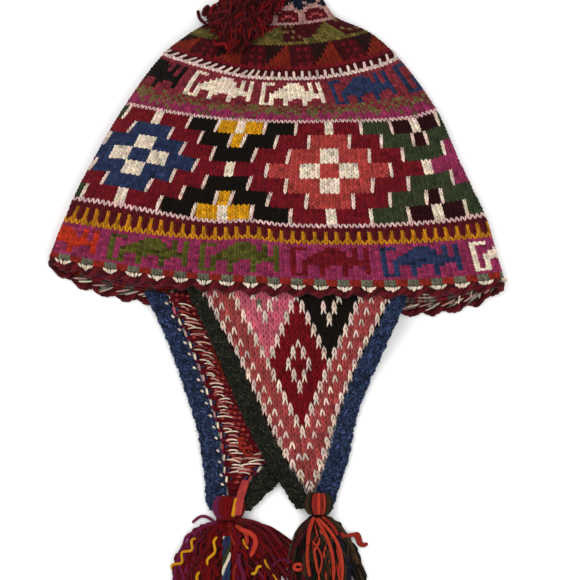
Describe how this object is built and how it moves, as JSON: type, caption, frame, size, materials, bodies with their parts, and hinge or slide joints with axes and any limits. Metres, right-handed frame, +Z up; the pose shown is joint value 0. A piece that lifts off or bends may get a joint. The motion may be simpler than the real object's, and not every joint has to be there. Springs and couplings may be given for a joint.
{
  "type": "knitted ear-flap hat",
  "caption": "Knitted ear-flap hat with patterned bands, scalloped rim, bordered flaps and yarn tassels, lying flat on its back wall.",
  "frame": {"origin": "on the floor under the crown's back wall, just inside the middle of the rim", "axes": "+X to the right across the hat seen from above, +Y from the rim to the tip of the crown, +Z up from the floor"},
  "size_m": [0.2744, 0.396, 0.0374],
  "materials": {
    "crown_knit": "knitted wool, many-coloured bands",
    "edging_yarn": "crocheted wool",
    "near_panel_knit": "knitted wool, outside",
    "green_yarn": "fuzzy crocheted wool",
    "blue_yarn": "fuzzy crocheted wool",
    "far_panel_knit": "knitted wool, inside with floats",
    "near_tassel_yarn": "loose wool yarn",
    "far_tassel_yarn": "loose wool yarn",
    "top_tassel_yarn": "loose curly wool yarn"
  },
  "bodies": {
    "root": {"crown": "crown_knit", "rim_edging": "edging_yarn", "near_flap_panel": "near_panel_knit", "near_flap_green_border": "green_yarn", "near_flap_blue_border": "blue_yarn", "far_flap_panel": "far_panel_knit", "far_flap_blue_border": "blue_yarn", "far_flap_green_border": "green_yarn", "near_tassel": "near_tassel_yarn", "far_tassel": "far_tassel_yarn", "top_tassel": "top_tassel_yarn"}
  },
  "joints": []
}
